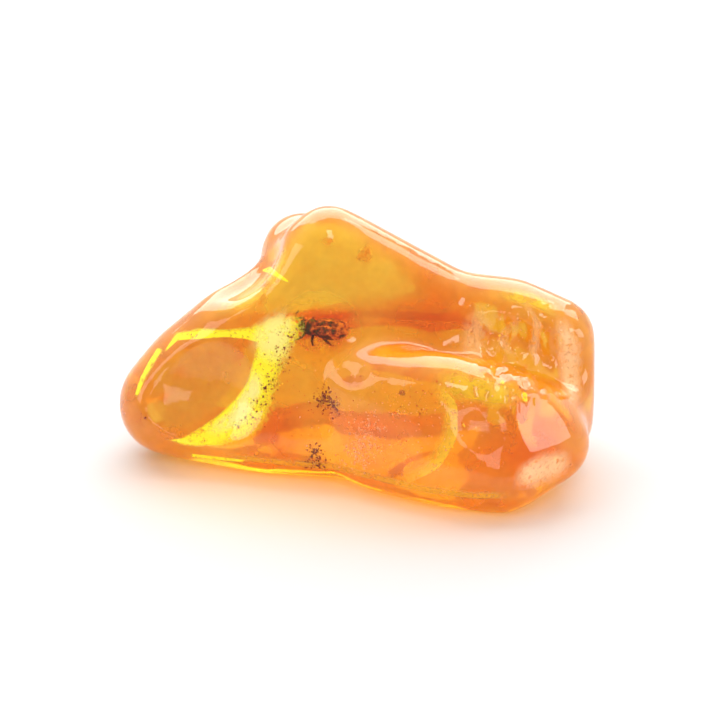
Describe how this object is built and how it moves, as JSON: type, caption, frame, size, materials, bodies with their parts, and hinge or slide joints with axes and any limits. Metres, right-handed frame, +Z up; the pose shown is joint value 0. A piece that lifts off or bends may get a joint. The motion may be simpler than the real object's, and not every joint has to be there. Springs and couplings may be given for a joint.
{
  "type": "insect in amber",
  "caption": "Tumbled and polished nugget of clear honey amber with a small beetle, a frass pellet and a bark fleck sealed inside, resting on its flat base.",
  "frame": {"origin": "bottom centre of the nugget's bounding box, on the plane of its flat base", "axes": "+X along the nugget's length, towards its blocky end; -Y its front, the side nearest the beetle; +Z up to its peak"},
  "size_m": [0.0426, 0.0268, 0.0228],
  "materials": {
    "honey_amber": "tumbled and polished clear fossil resin, refractive index 1.54",
    "dark_chitin": "dark brown insect shell, dulled by the resin against it",
    "brown_debris": "rough crumbs of bark and droppings"
  },
  "bodies": {
    "root": {"amber_front": "honey_amber", "amber_back": "honey_amber", "beetle": "dark_chitin", "frass_pellet": "brown_debris", "bark_fleck": "brown_debris"}
  },
  "joints": []
}
